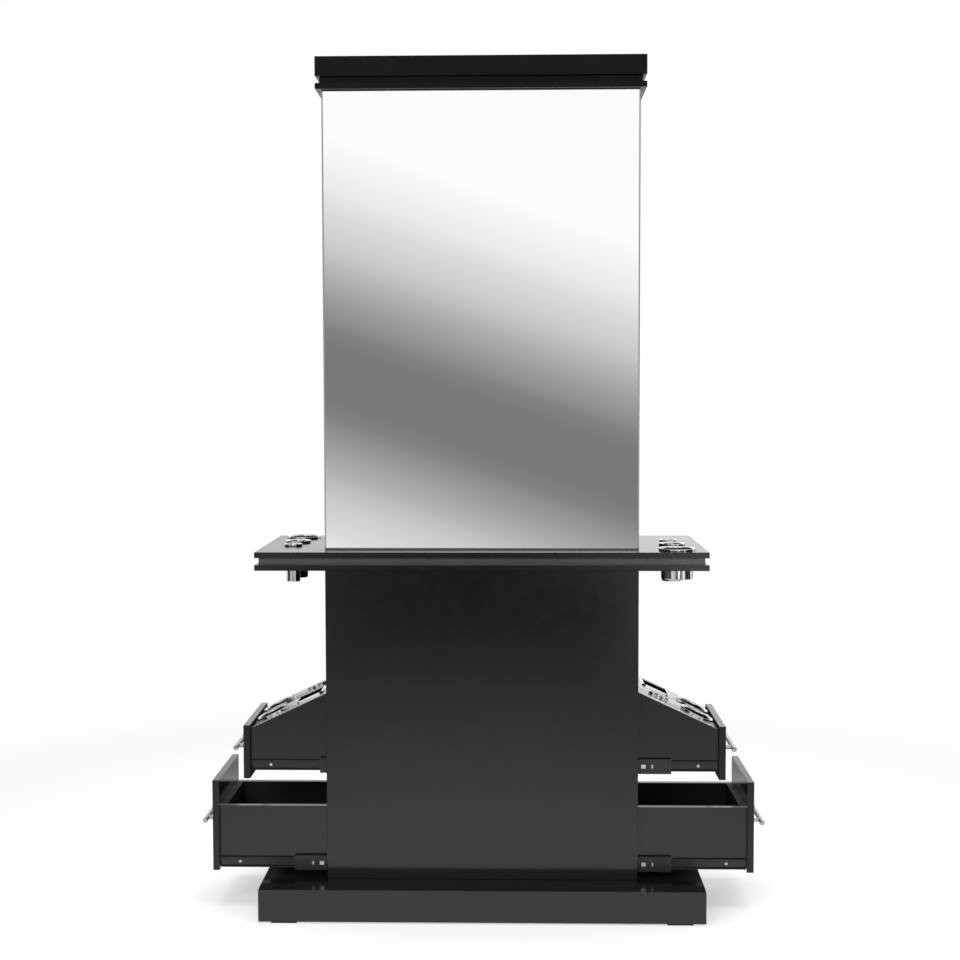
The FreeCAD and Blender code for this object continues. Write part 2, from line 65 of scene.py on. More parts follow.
def make_camera():
    data = bpy.data.cameras.new("camera")
    camera = bpy.data.objects.new("camera", data)
    SCENE.collection.objects.link(camera)
    data.sensor_fit = "HORIZONTAL"
    data.sensor_width = SENSOR
    data.lens = FOCAL_PIXELS / IMAGE_PIXELS * SENSOR
    data.shift_x = (IMAGE_PIXELS / 2 - CENTRE_PIXEL[0]) / IMAGE_PIXELS
    data.shift_y = (CENTRE_PIXEL[1] - IMAGE_PIXELS / 2) / IMAGE_PIXELS
    data.clip_end = CLIP_END
    level = Vector((math.sin(CAMERA_YAW), math.cos(CAMERA_YAW), 0))
    right = Vector((math.cos(CAMERA_YAW), -math.sin(CAMERA_YAW), 0))
    up = math.sin(CAMERA_PITCH) * level + math.cos(CAMERA_PITCH) * Vector((0, 0, 1))
    cos_roll, sin_roll = math.cos(CAMERA_ROLL), math.sin(CAMERA_ROLL)
    x_axis = cos_roll * right + sin_roll * up
    y_axis = cos_roll * up - sin_roll * right
    z_axis = x_axis.cross(y_axis)
    turn = Matrix((x_axis, y_axis, z_axis)).transposed().to_4x4()
    camera.matrix_world = Matrix.Translation(CAMERA_PLACE) @ turn
    SCENE.camera = camera


# ---------------------------------------------------------------- node helpers
class Tree:
    """Adds nodes to a material's or the world's node tree."""

    def __init__(self, owner):
        owner.use_nodes = True
        self.tree = owner.node_tree
        self.tree.nodes.clear()

    def add(self, kind, inputs=None, **settings):
        node = self.tree.nodes.new(kind)
        for key, value in settings.items():
            setattr(node, key, value)
        for key, value in (inputs or {}).items():
            self.feed(value, node.inputs[key])
        return node

    def feed(self, value, socket):
        """Links a socket or a node's first output, or sets a number or a colour."""
        if isinstance(value, bpy.types.NodeSocket):
            self.tree.links.new(value, socket)
        elif isinstance(value, bpy.types.Node):
            self.tree.links.new(value.outputs[0], socket)
        elif hasattr(socket.default_value, "__len__") and not hasattr(value, "__len__"):
            socket.default_value = (value, value, value, 1.0)[: len(socket.default_value)]
        elif hasattr(value, "__len__") and len(value) < len(socket.default_value):
            socket.default_value = (*value, 1.0)
        else:
            socket.default_value = value

    def math(self, operation, *values):
        node = self.add("ShaderNodeMath", operation=operation)
        for i, value in enumerate(values):
            self.feed(value, node.inputs[i])
        return node.outputs[0]

    def product(self, vector, factor):
        return self.add("ShaderNodeVectorMath", {0: vector, 1: factor}, operation="MULTIPLY").outputs[0]

    def mix(self, factor, first, second):
        """Between two numbers."""
        return self.add("ShaderNodeMix", {"Factor": factor, "A": first, "B": second}).outputs[0]

    def place(self):
        return self.add("ShaderNodeTexCoord").outputs["Object"]

    def parts(self, vector):
        return self.add("ShaderNodeSeparateXYZ", {"Vector": vector}).outputs

    def noise(self, coords, scale, detail=2.0, roughness=0.5, stretch=None):
        if stretch:
            coords = self.product(coords, stretch)
        return self.add("ShaderNodeTexNoise", {
            "Vector": coords, "Scale": scale, "Detail": detail, "Roughness": roughness}).outputs[0]

    def ramp(self, factor, *stops, smooth=False):
        """Stops are (place, grey or colour)."""
        node = self.add("ShaderNodeValToRGB", {"Fac": factor})
        if smooth:
            node.color_ramp.interpolation = "CARDINAL"
        elements = node.color_ramp.elements
        while len(elements) < len(stops):
            elements.new(1.0)
        for element, (place, _) in zip(elements, stops):
            element.position = place
        for element, (_, colour) in zip(elements, stops):
            if not hasattr(colour, "__len__"):
                colour = (colour, colour, colour)
            element.color = (*colour, 1.0)
        return node.outputs[0]

    def span(self, value, low, high, out_low=0.0, out_high=1.0):
        inputs = {"Value": value, "From Min": low, "From Max": high, "To Min": out_low, "To Max": out_high}
        return self.add("ShaderNodeMapRange", inputs).outputs[0]

    def bump(self, height, strength, distance):
        return self.add("ShaderNodeBump", {
            "Height": height, "Strength": strength, "Distance": distance}).outputs[0]

    def principled(self, colour, roughness, **others):
        """Other inputs are named with _ for each space."""
        inputs = {"Base Color": colour, "Roughness": roughness}
        inputs.update({key.replace("_", " "): value for key, value in others.items()})
        return self.add("ShaderNodeBsdfPrincipled", inputs)


def new_material(name, build):
    material = bpy.data.materials.new(name)
    tree = Tree(material)
    shader = build(tree)
    tree.add("ShaderNodeOutputMaterial", {"Surface": shader})
    return material


# ---------------------------------------------------------------- materials of the object
CLOUD_SCALE = 7.0
PORE_SCALE = 1400.0
PORE_DEPTH = 0.0002
ORANGE_PEEL = 0.06
BRUSH_DEPTH = 0.0001
# a face points inwards where its place and its normal have opposite signs; the product is in metres
INWARDS = -0.01


def board_grain(t, place):
    """Faint clouding and fine pores: a factor for the colour, and the pores' height."""
    clouds = t.noise(place, CLOUD_SCALE, 3.0)
    pores = t.noise(place, PORE_SCALE, 2.0)
    tone = t.span(clouds, 0.3, 0.7, 0.86, 1.14)
    grain = t.span(pores, 0.3, 0.7, 0.9, 1.1)
    return t.math("MULTIPLY", tone, grain), pores


def laminate(name, colour, rough, specular, orange_peel=ORANGE_PEEL):
    """Black melamine, lacquer or plastic: a faintly clouded colour, fine pores and rubbed patches."""
    def build(t):
        place = t.place()
        grain, pores = board_grain(t, place)
        rubbed = t.noise(place, 26.0, 5.0, 0.6)
        return t.principled(
            t.product(colour, grain), t.span(rubbed, 0.35, 0.7, rough * 0.85, rough * 1.25),
            Specular_IOR_Level=specular, Normal=t.bump(pores, orange_peel, PORE_DEPTH))
    return new_material(name, build)


def board_with_painted_inner_faces(name, colour, rough, specular, inner_light_and_shade, axis="Y", inner_rough=None):
    """Laminate outside and on the top edges. The faces that look along the axis towards the middle of the
    station, a drawer's inner faces, take a colour given for them: painted light inside the boxes, painted
    shade on the upper fronts."""
    def build(t):
        place = t.place()
        normal = t.add("ShaderNodeNewGeometry").outputs["True Normal"]
        facing_out = t.math("MULTIPLY", t.parts(place)[axis], t.parts(normal)[axis])
        is_inside = t.math("LESS_THAN", facing_out, INWARDS)
        grain, pores = board_grain(t, place)
        # painted light and shade: the inner faces take the given colour in place of the laminate's
        base = t.add("ShaderNodeMix", {"Factor": is_inside, "A": colour, "B": inner_light_and_shade}, data_type="RGBA")
        roughness = rough if inner_rough is None else t.mix(is_inside, rough, inner_rough)
        return t.principled(
            t.product(base.outputs["Result"], grain), roughness,
            Specular_IOR_Level=specular, Normal=t.bump(pores, ORANGE_PEEL, PORE_DEPTH))
    return new_material(name, build)


def mirror_glass():
    """Silvered glass: a clear mirror on its broad faces, grey-green on its ground edges."""
    def build(t):
        place = t.place()
        wipe = t.noise(place, 9.0, 4.0)
        silver = t.principled(
            t.ramp(wipe, (0.3, (0.955, 0.965, 0.962)), (0.7, (0.968, 0.972, 0.97))),
            t.span(wipe, 0.3, 0.8, 0.006, 0.014), Metallic=1.0)
        ground = t.noise(place, 600.0, 2.0)
        edge = t.principled(
            t.ramp(ground, (0.3, (0.12, 0.19, 0.17)), (0.7, (0.2, 0.28, 0.26))), 0.28, Coat_Weight=0.4)
        across = t.parts(t.add("ShaderNodeNewGeometry").outputs["True Normal"])["Y"]
        is_broad = t.math("GREATER_THAN", t.math("ABSOLUTE", across), 0.5)
        return t.add("ShaderNodeMixShader", {0: is_broad, 1: edge, 2: silver})
    return new_material("mirror_glass", build)


def chrome():
    """Polished plating with a faint haze."""
    def build(t):
        haze = t.noise(t.place(), 60.0, 4.0)
        return t.principled(
            t.ramp(haze, (0.3, (0.8, 0.8, 0.81)), (0.7, (0.88, 0.88, 0.88))),
            t.span(haze, 0.3, 0.75, 0.05, 0.12), Metallic=1.0)
    return new_material("chrome_plate", build)


def brushed_steel(name, stretch, colour=0.62, rough=0.26):
    """Steel with strokes across the axes that stretch scales up."""
    def build(t):
        place = t.place()
        strokes = t.noise(place, 260.0, 4.0, 0.7, stretch)
        patches = t.noise(place, 14.0, 3.0)
        return t.principled(
            t.ramp(strokes, (0.25, colour * 0.82), (0.75, colour * 1.12)),
            t.span(patches, 0.3, 0.7, rough * 0.85, rough * 1.2),
            Metallic=1.0, Normal=t.bump(strokes, 0.25, BRUSH_DEPTH))
    return new_material(name, build)


def plated(name, colour, rough, metallic):
    """Zinc or black electrocoat on pressed steel."""
    def build(t):
        place = t.place()
        spangle = t.noise(place, 240.0, 4.0, 0.65)
        smears = t.noise(place, 30.0, 3.0)
        low, high = (tuple(c * share for c in colour) for share in (0.8, 1.2))
        return t.principled(
            t.ramp(spangle, (0.3, low), (0.7, high)), t.span(smears, 0.3, 0.7, rough * 0.8, rough * 1.25),
            Metallic=metallic, Normal=t.bump(spangle, 0.1, BRUSH_DEPTH))
    return new_material(name, build)


# ---------------------------------------------------------------- light, floor, background
FLOOR_RADIUS = 8.4
FLOOR_SIDES = 96
WHITE = 1.06
FILL = 0.5
# name, place, aim, size, watts
LAMPS = (
    ("top_soft_box", (0, 0, 3.6), (0, 0, 0), (3.4, 2.6), 95),
    ("front_soft_box", (-1.6, -3.4, 2.6), (0, 0, 0.8), (1.8, 1.8), 45),
    ("back_soft_box", (1.6, 3.4, 2.6), (0, 0, 0.8), (1.8, 1.8), 45),
)

# Levels over a heading, as (degrees, level): 0 is the front, -Y, and 90 the right-hand end, +X. All
# of them are fixed in the room, and are seen only in reflections.
# The sky: where it is open in front and behind, and the soft boxes that stand in it.
SKY_OPEN = (
    (-180, 1.0), (-162, 1.0), (-154, 0.5), (-128, 0.5), (-118, 0.06), (-19, 0.06), (-14, 1.0),
    (14, 1.0), (19, 0.06), (118, 0.06), (128, 0.5), (154, 0.5), (162, 1.0), (180, 1.0))
SKY_BOXES = (
    (-138, 0.0), (-130, 1.0), (-112, 1.0), (-104, 0.0), (-50, 0.0), (-45, 0.7), (-34, 0.7), (-30, 0.27),
    (-22, 0.27), (-18, 0.0), (18, 0.0), (21, 0.25), (32, 0.25), (37, 0.5), (41, 1.0), (50, 1.0),
    (56, 0.0), (104, 0.0), (112, 1.0), (128, 1.0), (136, 0.0))
# The floor: pools of light some way off in front, a bright strip at its far edge, the floor behind,
# and the sector in front in which it reaches its full radius.
FLOOR_BOXES = (
    (-46, 0.0), (-40, 0.6), (-20, 0.6), (-16, 0.5), (-12, 0.3), (-9, 0.06), (-6, 0.0), (6.5, 0.0),
    (8.2, 0.2), (9.6, 1.3), (13, 1.5), (17, 0.08), (29, 0.2), (36, 0.4), (41, 1.0), (51, 1.0), (57, 0.0))
FLOOR_STRIP = ((-2, 0.0), (2, 0.6), (5, 1.8), (8, 2.2), (15, 2.2), (20, 0.0))
FLOOR_BEHIND = ((-180, 0.8), (-125, 0.8), (-108, 0.0), (108, 0.0), (125, 0.8), (180, 0.8))
FLOOR_IN_FRONT = ((-180, 0.0), (-26, 0.0), (-17, 1.0), (17, 1.0), (26, 0.0), (180, 0.0))

# the dark band in the open sky: its slope, and its depth under the horizon
BAND_IN_FRONT = (-0.348, 0.03)
BAND_BEHIND = (0.14, 0.052)
# how far off the band's middle, and the level there
BAND_LEVELS = (
    (0.0, (0.181, 0.195, 0.205)), (0.033, (0.248, 0.26, 0.268)), (0.073, 0.53), (0.112, 0.8),
    (0.17, WHITE), (0.305, WHITE), (0.36, 0.86))
# how far up the sky turns white
CEILING = (0.62, 0.8)
# distances from the object's middle, over which a level rises or falls
SHADOW_ENDS = (0.9, 2.4)
POOLS_RISE = (3.0, 5.6)
STRIP_RISES = (7.0, 7.6)
FADE_STARTS = 4.2
FADE_STARTS_IN_FRONT = 8.0
FADE_ENDS = 8.35


def by_heading(t, parts, stops):
    turn = t.math("ARCTAN2", parts["X"], t.math("MULTIPLY", parts["Y"], -1.0))
    share = t.span(turn, -math.pi, math.pi)
    return t.ramp(share, *[((degrees + 180.0) / 360.0, level) for degrees, level in stops])


def mirror_sky(t, direction):
    """Grey level of the studio as polished surfaces see it.

    In front and behind, a soft dark band lies a little tilted across the horizon, and the level
    rises to white above it and below it. Between them stand soft boxes and dark flags. Behind, the
    level also varies with side and height, for the flat tops that reflect that part: the counter's,
    the drawers' and the plinth's.
    """
    parts = t.parts(direction)
    x, y, z = (parts[axis] for axis in "XYZ")
    front_tilt = t.math("MULTIPLY_ADD", t.math("MULTIPLY", x, y), *BAND_IN_FRONT)
    back_tilt = t.math("MULTIPLY_ADD", x, *BAND_BEHIND)
    is_back = t.math("GREATER_THAN", y, 0.0)
    off = t.math("ABSOLUTE", t.math("ADD", z, t.mix(is_back, front_tilt, back_tilt)))
    open_level = t.ramp(off, *BAND_LEVELS, smooth=True)
    kept = by_heading(t, parts, SKY_OPEN)
    boxes = by_heading(t, parts, SKY_BOXES)
    level = t.math("ADD", t.math("MULTIPLY", open_level, kept), boxes)
    level = t.math("MAXIMUM", t.math("MINIMUM", level, WHITE), t.span(z, *CEILING))
    brighter_right = t.span(x, -0.15, 0.12, 1.03, 1.18)
    by_height = t.ramp(z, (0.15, 1.0), (0.2, 1.17), (0.235, 1.17), (0.27, 0.78), (0.4, 0.78), (0.6, 1.0))
    gain = t.mix(is_back, 1.0, t.math("MULTIPLY", brighter_right, by_height))
    return t.math("MULTIPLY", level, gain)


def make_world():
    """White to the camera, the studio to polished surfaces, and an even fill to all else."""
    world = bpy.data.worlds.new("studio")
    SCENE.world = world
    t = Tree(world)
    path = t.add("ShaderNodeLightPath").outputs
    direction = t.add("ShaderNodeTexCoord").outputs["Generated"]
    white = t.add("ShaderNodeBackground", {"Color": 1.0, "Strength": 1.0})
    seen = t.add("ShaderNodeBackground", {"Color": mirror_sky(t, direction), "Strength": 1.0})
    fill = t.add("ShaderNodeBackground", {"Color": 1.0, "Strength": FILL})
    polished = t.math("MAXIMUM", path["Is Glossy Ray"], path["Is Transmission Ray"])
    inner = t.add("ShaderNodeMixShader", {0: polished, 1: fill, 2: seen})
    both = t.add("ShaderNodeMixShader", {0: path["Is Camera Ray"], 1: inner, 2: white})
    t.add("ShaderNodeOutputWorld", {"Surface": both})


def floor_in_reflections(t, place, distance):
    """Falls off with distance, as light does away from the lamps, apart from pools of light further
    off, and fades into the sky towards its edge."""
    parts = t.parts(place)
    share = t.math("DIVIDE", distance, FLOOR_RADIUS)
    level = t.ramp(share, (0.0, 1.0), (0.12, 1.0), (0.22, 0.72), (0.44, 0.28), (0.68, 0.07), (1.0, 0.05))
    far_back = t.math("DIVIDE", parts["Y"], FLOOR_RADIUS)
    just_behind = t.ramp(far_back, (0.08, 1.0), (0.15, 0.36), (0.26, 0.36), (0.38, 1.0))
    level = t.math("MULTIPLY", level, just_behind)
    boxes = by_heading(t, parts, FLOOR_BOXES)
    level = t.math("MULTIPLY_ADD", boxes, t.span(distance, *POOLS_RISE), level)
    strip = by_heading(t, parts, FLOOR_STRIP)
    level = t.math("MULTIPLY_ADD", strip, t.span(distance, *STRIP_RISES), level)
    behind = by_heading(t, parts, FLOOR_BEHIND)
    pool = t.ramp(share, (0.15, 0.0), (0.32, 1.0), (0.6, 1.0), (0.75, 0.3), (1.0, 0.3))
    level = t.math("MULTIPLY_ADD", behind, pool, level)
    glow = t.add("ShaderNodeEmission", {"Color": level, "Strength": 1.0})
    in_front = by_heading(t, parts, FLOOR_IN_FRONT)
    fade_starts = t.span(in_front, 0.0, 1.0, FADE_STARTS, FADE_STARTS_IN_FRONT)
    through = t.add("ShaderNodeBsdfTransparent", {"Color": 1.0})
    return t.add("ShaderNodeMixShader", {0: t.span(distance, fade_starts, FADE_ENDS), 1: glow, 2: through})


def floor_material():
    """A pale studio floor. Straight to the camera it is white, with the object's shadow near it."""
    def build(t):
        place = t.place()
        distance = t.add("ShaderNodeVectorMath", {0: place}, operation="LENGTH").outputs["Value"]
        speckle = t.noise(place, 90.0, 3.0)
        pale = t.add("ShaderNodeBsdfDiffuse", {"Color": t.ramp(speckle, (0.3, 0.82), (0.7, 0.85))})
        near = t.span(distance, *SHADOW_ENDS, 1.0, 0.0)
        glow = t.add("ShaderNodeEmission", {"Color": 1.0, "Strength": t.span(near, 0.0, 1.0, 1.0, 0.42)})
        lit = t.add("ShaderNodeMixShader", {0: t.span(near, 0.0, 1.0, 0.0, 0.72), 1: glow, 2: pale})
        lift = t.add("ShaderNodeEmission", {"Color": 1.0, "Strength": t.span(near, 0.0, 1.0, 0.0, 0.36)})
        shown = t.add("ShaderNodeAddShader", {0: lit, 1: lift})
        reflected = floor_in_reflections(t, place, distance)
        path = t.add("ShaderNodeLightPath").outputs
        seen = t.add("ShaderNodeMixShader", {0: path["Is Glossy Ray"], 1: pale, 2: reflected})
        return t.add("ShaderNodeMixShader", {0: path["Is Camera Ray"], 1: seen, 2: shown})
    return new_material("studio_floor", build)


def make_floor():
    mesh = bpy.data.meshes.new("floor")
    bm = bmesh.new()
    bmesh.ops.create_circle(bm, cap_ends=True, segments=FLOOR_SIDES, radius=FLOOR_RADIUS)
    bm.to_mesh(mesh)
    bm.free()
    floor = bpy.data.objects.new("floor", mesh)
    SCENE.collection.objects.link(floor)
    mesh.materials.append(floor_material())


def make_lights():
    for name, place, aim, size, watts in LAMPS:
        data = bpy.data.lights.new(name, "AREA")
        data.shape = "RECTANGLE"
        data.size, data.size_y = size
        data.energy = watts
        lamp = bpy.data.objects.new(name, data)
        SCENE.collection.objects.link(lamp)
        lamp.location = place
        lamp.rotation_euler = (Vector(aim) - Vector(place)).to_track_quat("-Z", "Y").to_euler()
        lamp.visible_glossy = False


# ---------------------------------------------------------------- shapes of the detail pieces
# From here on every length is in millimetres, and Shape.piece brings it to metres. Pieces of the
# drawers are made for the right-hand end, and take half a turn for the left.
HALF_TURN = Matrix.Rotation(math.pi, 4, "Z")
TO_METRES = Matrix.Scale(0.001, 4)
SAME_POINT = 0.0005
SHARP_EDGE = 38.0


class Shape:
    """Gathers the faces of one piece."""

    def __init__(self):
        self.points = []
        self.faces = []
        self.finishes = []

    def add(self, part, place, finish=0):
        points, faces = part
        start = len(self.points)
        self.points += [place @ Vector(point) for point in points]
        self.faces += [tuple(start + i for i in face) for face in faces]
        self.finishes += [finish] * len(faces)

    def piece(self, name, body, materials, side="right", sharp=SHARP_EDGE):
        mesh = bpy.data.meshes.new(name)
        mesh.from_pydata(self.points, [], self.faces)
        mesh.polygons.foreach_set("material_index", self.finishes)
        bm = bmesh.new()
        bm.from_mesh(mesh)
        bmesh.ops.remove_doubles(bm, verts=bm.verts, dist=SAME_POINT)
        bmesh.ops.dissolve_degenerate(bm, edges=bm.edges, dist=SAME_POINT)
        bmesh.ops.recalc_face_normals(bm, faces=bm.faces)
        bm.to_mesh(mesh)
        bm.free()
        mesh.transform(HALF_TURN @ TO_METRES if side == "left" else TO_METRES)
        mesh.polygons.foreach_set("use_smooth", [True] * len(mesh.polygons))
        mesh.set_sharp_from_angle(angle=math.radians(sharp))
        for material in materials:
            mesh.materials.append(material)
        obj = bpy.data.objects.new(name, mesh)
        SCENE.collection.objects.link(obj)
        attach(obj, body)
        return obj


def arc(centre, radii, start, end, steps):
    """Points of an ellipse's arc, in degrees."""
    points = []
    for i in range(steps + 1):
        angle = math.radians(start + (end - start) * i / steps)
        points.append((centre[0] + radii[0] * math.cos(angle), centre[1] + radii[1] * math.sin(angle)))
    return points


def ring_path(radius, centre=(0.0, 0.0), steps=72):
    """A circle as (place, direction outwards)."""
    path = []
    for i in range(steps):
        angle = 2 * math.pi * i / steps
        out = (math.cos(angle), math.sin(angle))
        path.append(((centre[0] + radius * out[0], centre[1] + radius * out[1]), out))
    return path


def rounded_path(x0, x1, y0, y1, corner, steps=8):
    """A rectangle with rounded corners as (place, direction outwards)."""
    path = []
    middles = ((x1 - corner, y1 - corner), (x0 + corner, y1 - corner),
               (x0 + corner, y0 + corner), (x1 - corner, y0 + corner))
    for quarter, middle in enumerate(middles):
        for i in range(steps + 1):
            angle = math.radians(90 * quarter + 90 * i / steps)
            out = (math.cos(angle), math.sin(angle))
            path.append(((middle[0] + corner * out[0], middle[1] + corner * out[1]), out))
    return path


def swept(path, profile, closed=True):
    """A profile of (outwards, up) points carried round a path of (place, direction outwards)."""
    points = []
    faces = []
    count = len(profile)
    for place, out in path:
        for outwards, up in profile:
            points.append((place[0] + out[0] * outwards, place[1] + out[1] * outwards, up))
    for i in range(len(path)):
        j = (i + 1) % len(path)
        for k in range(count if closed else count - 1):
            m = (k + 1) % count
            faces.append((i * count + k, j * count + k, j * count + m, i * count + m))
    return points, faces


def extruded(outline, low, high):
    """A prism along Y with its outline in (x, z)."""
    count = len(outline)
    points = [(x, low, z) for x, z in outline] + [(x, high, z) for x, z in outline]
    faces = [tuple(range(count)), tuple(range(2 * count - 1, count - 1, -1))]
    faces += [(i, (i + 1) % count, (i + 1) % count + count, i + count) for i in range(count)]
    return points, faces


def cut_sheet(outer, holes, thickness, edge):
    """A flat sheet on z = 0 with holes in it, every edge rounded."""
    curve = bpy.data.curves.new("cut_sheet", "CURVE")
    curve.dimensions = "2D"
    curve.fill_mode = "BOTH"
    for path in [outer] + holes:
        spline = curve.splines.new("POLY")
        spline.points.add(len(path) - 1)
        for point, (place, _) in zip(spline.points, path):
            point.co = (place[0], place[1], 0.0, 1.0)
        spline.use_cyclic_u = True
    curve.extrude = thickness / 2 - edge
    curve.bevel_depth = edge
    curve.bevel_resolution = 2
    curve.offset = -edge
    flat = bpy.data.objects.new("cut_sheet", curve)
    SCENE.collection.objects.link(flat)
    mesh = bpy.data.meshes.new_from_object(flat.evaluated_get(bpy.context.evaluated_depsgraph_get()))
    points = [(v.co.x, v.co.y, v.co.z + thickness / 2) for v in mesh.vertices]
    faces = [tuple(polygon.vertices) for polygon in mesh.polygons]
    bpy.data.objects.remove(flat)
    bpy.data.curves.remove(curve)
    bpy.data.meshes.remove(mesh)
    return points, faces


def rest_box(node, side):
    """A node's box at rest in millimetres, half-turned for the left side to stand on the right."""
    low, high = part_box(node)
    if side == "left":
        low, high = (-high[0], -high[1], low[2]), (-low[0], -low[1], high[2])
    return [c * 1000 for c in low], [c * 1000 for c in high]


RIM_TURN = 2.0
RIM_EDGE = 1.3
RIM_SHARE = 0.35
TURN_RISE = 0.66


def dished_rim(inside, outside, foot, crest):
    """A rim's section, from its inner side outwards: rounded over into the bore, rising a little to
    a rounded edge, and steep on the outside."""
    turn = min(RIM_TURN, (outside - inside) * RIM_SHARE)
    edge = min(RIM_EDGE, (outside - inside) * RIM_SHARE)
    inner = arc((inside + turn, foot), (turn, (crest - foot) * TURN_RISE), 180, 90, 7)
    outer = arc((outside - edge, crest - edge), (edge, edge), 90, 0, 6)
    return inner + outer + [(outside, crest - edge - 0.3), (outside, foot)]


# ---------------------------------------------------------------- holders in the counter
COUNTER_TOP = 863.0
HOLDER_X = 457.0
HOLDER_WALL = 1.5
HOLDER_STEPS = 96
RIM_HEIGHT = 5.0
RIM_FOOT = 1.4
# node: middle across, tube's outer radius, width of its rim, length under the counter's top
HOLDERS = {
    "dryer_holders": (-147.0, 37.0, 6.0, 67.0),
    "large_iron_holders": (-33.0, 24.0, 8.0, 86.0),
    "small_iron_holders": (51.0, 16.5, 6.0, 86.0),
}


def holder_profile(tube, rim, depth):
    """Section of a tube with its rim, which seats on z = 0, and its hemmed lower end."""
    bore = tube - HOLDER_WALL
    outer = tube + rim
    roll = dished_rim(bore, outer, RIM_FOOT, RIM_HEIGHT)
    seat = [(outer - 0.1, 0.5), (outer - 0.6, 0.0), (tube + 0.1, 0.0)]
    half_wall = HOLDER_WALL / 2
    hem = arc((tube - half_wall, -depth + half_wall), (half_wall, half_wall), 0, -180, 6)
    stay = depth - 3.0
    inner = [(bore, -stay), (bore, RIM_FOOT - 1.5)]
    outer_side = [(tube, -0.4), (tube, -2.0), (tube, -stay)]
    return inner + roll + seat + outer_side + hem


def make_holders(material):
    for node, (across, tube, rim, depth) in HOLDERS.items():
        shape = Shape()
        profile = holder_profile(tube, rim, depth)
        for sign in (1, -1):
            place = Matrix.Translation((sign * HOLDER_X, sign * across, COUNTER_TOP))
            shape.add(swept(ring_path(0.0, steps=HOLDER_STEPS), profile), place)
        holder = shape.piece(node + "_rolled", "station", [material])
        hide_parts(node)


# ---------------------------------------------------------------- pressed tool plates
SHEET = 1.2
SHEET_EDGE = 0.45
SLOPE = math.radians(25.0)
EDGE_DROP = 9.5
PLATE_START = 2.0
PLATE_END = 331.0
PLATE_HALF = 120.3
LIP = 12.0
FOLD_LAP = 9.0
# along the plate, across it, the bore's radius, the rim's width
PLATE_HOLES = (
    (50.0, -49.0, 35.0, 8.0), (50.0, 49.0, 35.0, 8.0), (138.5, 58.0, 10.0, 2.6), (165.5, 58.0, 10.0, 2.6))
POCKET = (119.0, 185.0, -92.0, -14.0)
POCKET_CORNER = 7.0
POCKET_DEPTH = 10.0
POCKET_RIM = 5.0
COLLAR = 2.4
# how far the cut sheet reaches in under a rim's outer edge, and stops short of the fold's corner
RIM_LAP = 1.6
SHEET_SHORT = 6.0
# a plate rim's foot over the sheet, and the pocket's rounded crest
FOOT_RISE = 0.9
CREST = 0.9


def rolled_edge(inside, width, depth, sloped=False):
    """Rim rolled up out of the sheet and a collar turned down, from its inner side outwards."""
    foot = SHEET + FOOT_RISE
    top = SHEET + RIM_HEIGHT
    if sloped:
        crest = arc((inside + CREST, top - CREST), (CREST, CREST), 180, 45, 6)
        roll = [(inside, foot)] + crest + [(width - 0.6, foot - 0.1)]
    else:
        roll = dished_rim(inside, width - 0.5, foot, top)
    out = [(width - 0.3, SHEET + 0.2), (width, SHEET), (width, SHEET / 2)]
    return [(inside, -depth)] + roll + out + [(inside + SHEET, SHEET / 2), (inside + SHEET, -depth)]


def plate_fold():
    """The sheet's far end, bent down over the drawer's back board."""
    down = Vector((-math.sin(SLOPE), -math.cos(SLOPE))) * LIP
    out = Vector((math.cos(SLOPE), -math.sin(SLOPE))) * SHEET
    corner = Vector((PLATE_END, 0.0))
    bend = [(0.95, 0.15), (0.7, 0.7), (0.15, 1.08), (-0.7, SHEET), (-FOLD_LAP, SHEET)]
    outline = [corner + Vector((-FOLD_LAP, 0.0)), corner, corner + down, corner + down + out, corner + out]
    return [(c.x, c.y) for c in outline] + [(PLATE_END + x, z) for x, z in bend]


def make_tool_plate(side, brushed, polished):
    drawer = side + "_upper_"
    box_front = rest_box(drawer + "box_ends", side)[1][0]
    low_end = rest_box(drawer + "drawer_front", side)[1][2] - EDGE_DROP
    sine, cosine = math.sin(SLOPE), math.cos(SLOPE)
    # up the slope from the drawer's outer end, across it, and out of the sheet
    lay = Matrix(((-cosine, 0, sine, box_front), (0, -1, 0, 0), (sine, 0, cosine, low_end), (0, 0, 0, 1)))
    cuts = [ring_path(bore + rim - RIM_LAP, (along, across)) for along, across, bore, rim in PLATE_HOLES]
    x0, x1, y0, y1 = POCKET
    out = POCKET_RIM - RIM_LAP
    cuts.append(rounded_path(x0 - out, x1 + out, y0 - out, y1 + out, POCKET_CORNER + out))
    outer = rounded_path(PLATE_START, PLATE_END - SHEET_SHORT, -PLATE_HALF, PLATE_HALF, 1.0, 3)
    shape = Shape()
    shape.add(cut_sheet(outer, cuts, SHEET, SHEET_EDGE), lay)
    for along, across, bore, rim in PLATE_HOLES:
        shape.add(swept(ring_path(bore, (along, across)), rolled_edge(0.0, rim, COLLAR)), lay, 1)
    pocket = rolled_edge(-SHEET, POCKET_RIM, POCKET_DEPTH, sloped=True)
    shape.add(swept(rounded_path(x0, x1, y0, y1, POCKET_CORNER), pocket), lay, 1)
    shape.add(extruded(plate_fold(), -PLATE_HALF, PLATE_HALF), lay)
    looks = [brushed, polished]
    plate = shape.piece(drawer + "pressed_plate", drawer + "drawer", looks, side)
    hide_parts(drawer + "tool_plate")


# ---------------------------------------------------------------- handles
BAR = 6.0
BAR_EASE = 1.3
BAR_STEPS = 48
POST = 5.0
POST_SIDE = 64.0
POST_FOOT = 6.2
FLANGE = 1.5
FLANGE_EDGE = 0.5
FILLET = 0.8
POST_STEPS = 40


